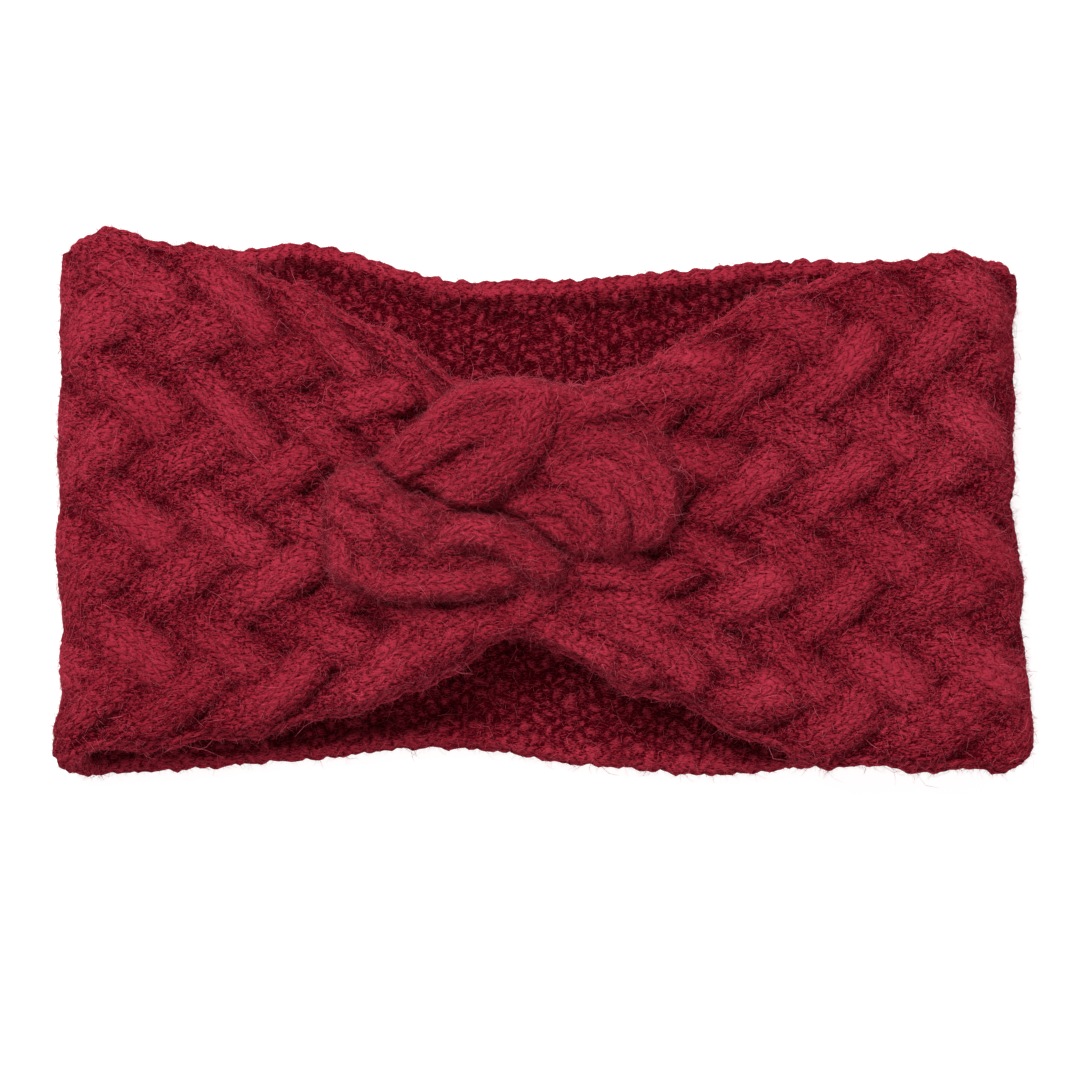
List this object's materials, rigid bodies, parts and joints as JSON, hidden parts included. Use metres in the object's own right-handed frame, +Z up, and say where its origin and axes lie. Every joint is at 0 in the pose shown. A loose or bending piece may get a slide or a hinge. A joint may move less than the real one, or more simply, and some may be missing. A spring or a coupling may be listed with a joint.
{
  "type": "ear warmer headband",
  "caption": "Wide cable-knit ear warmer headband lying flat, a hollow ring with rolled rims, gathered at the front into a soft knot of two folded ends.",
  "frame": {"origin": "on the surface that the headband lies on, under the middle of its box", "axes": "+X along its length, +Y across the strip towards its upper rim, +Z up, out of the front with the knot"},
  "size_m": [0.2304, 0.1281, 0.0408],
  "materials": {
    "knit": "fuzzy crimson yarn, cable-knit, matt"
  },
  "bodies": {
    "root": {"band": "knit", "right_end_fold": "knit", "left_end_fold": "knit"}
  },
  "joints": []
}
